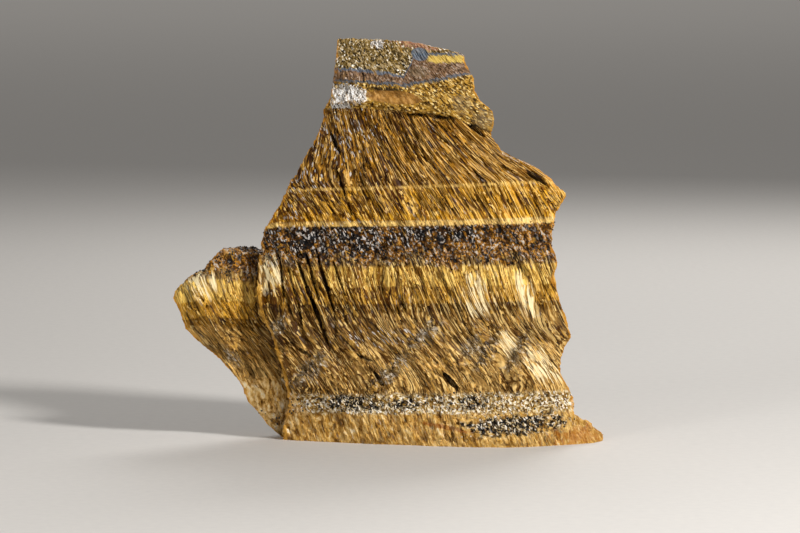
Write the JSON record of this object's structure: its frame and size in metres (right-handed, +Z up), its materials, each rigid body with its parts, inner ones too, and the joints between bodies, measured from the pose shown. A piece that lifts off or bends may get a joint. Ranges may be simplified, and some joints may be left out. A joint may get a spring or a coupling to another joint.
{
  "type": "rough tiger's eye stone",
  "caption": "Rough piece of tiger's eye: a broken slab of golden brown banded fibrous quartz under a dark ironstone cap, standing upright on its flat foot.",
  "frame": {"origin": "middle of the bounding box at the base, on the surface the stone stands on", "axes": "+X to the right across the split face, +Y from the split face to the back, +Z up along the fibres"},
  "size_m": [0.108, 0.0396, 0.1014],
  "materials": {
    "tigers_eye": "broken fibrous quartz, golden brown with cream, dark brown and grey bands, silky where the fibres catch the light"
  },
  "bodies": {
    "root": {"stone": "tigers_eye"}
  },
  "joints": []
}
